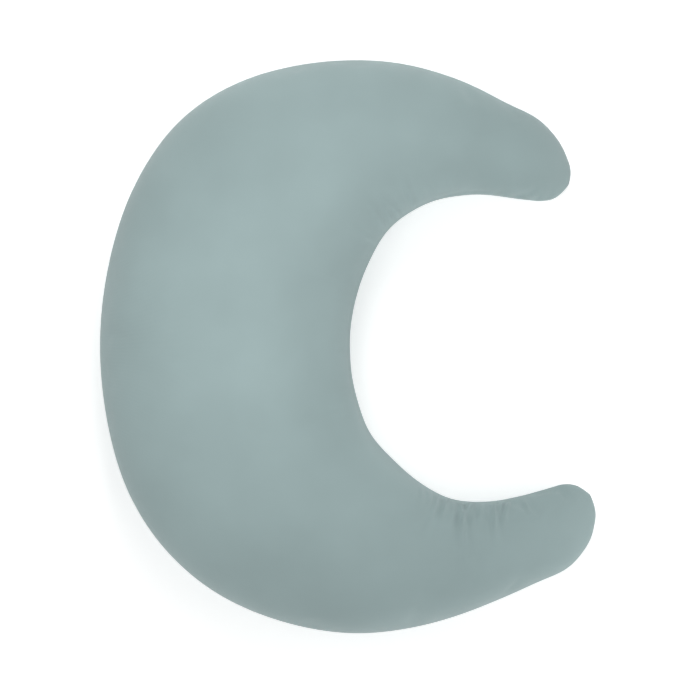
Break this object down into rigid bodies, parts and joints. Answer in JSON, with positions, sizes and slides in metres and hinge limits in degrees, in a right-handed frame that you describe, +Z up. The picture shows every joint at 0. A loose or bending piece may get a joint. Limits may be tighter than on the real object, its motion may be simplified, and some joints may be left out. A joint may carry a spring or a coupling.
{
  "type": "nursing pillow",
  "caption": "Crescent-shaped feeding pillow: fibre-filled inner cushion in a removable stretch cover with a zip round its back edge.",
  "frame": {"origin": "middle of the bottom of the bounding box, on the surface the pillow lies on", "axes": "+Z up, through the thickness; +X from the back towards the open side of the crescent; +Y from the arm at the zip's open end to the arm at its closed end, along the longest side"},
  "size_m": [0.5603, 0.6476, 0.1603],
  "materials": {
    "cover_fabric": "smooth stretch jersey, grey-green, soft matt with a faint sheen",
    "zip_tape": "woven tape dyed to match the cover",
    "zip_coil": "nylon coil dyed to match the tape",
    "zip_metal": "satin nickel plate",
    "label_satin": "blank satin tape",
    "case_cotton": "white plain-weave cotton",
    "fibre": "white hollow-fibre filling"
  },
  "bodies": {
    "pillow": {"cover_top_panel": "cover_fabric", "cover_bottom_panel": "cover_fabric", "zip_tape_upper": "zip_tape", "zip_tape_lower": "zip_tape", "zip_coil_upper": "zip_coil", "zip_coil_lower": "zip_coil", "zip_top_stop_upper": "zip_metal", "zip_top_stop_lower": "zip_metal", "zip_bottom_stop": "zip_metal", "care_label": "label_satin", "inner_case_top_panel": "case_cotton", "inner_case_bottom_panel": "case_cotton", "fibre_filling": "fibre"},
    "zip_slider": {"zip_slider_body": "zip_metal", "zip_slider_crown": "zip_metal", "zip_lock_spring": "zip_metal"},
    "pull_tab": {"zip_pull_tab": "zip_metal"}
  },
  "joints": [
    {"name": "zip_travel", "type": "hinge", "parent": "pillow", "child": "zip_slider", "pos_m": [0.1645, 0, 0.0656], "axis": [0, 0, 1], "range_deg": [0, 37.8]},
    {"name": "pull_tab_flip", "type": "hinge", "parent": "zip_slider", "child": "pull_tab", "pos_m": [-0.25339, 0.14307, 0.0656], "axis": [0, 0, -1], "range_deg": [0, 150]}
  ]
}
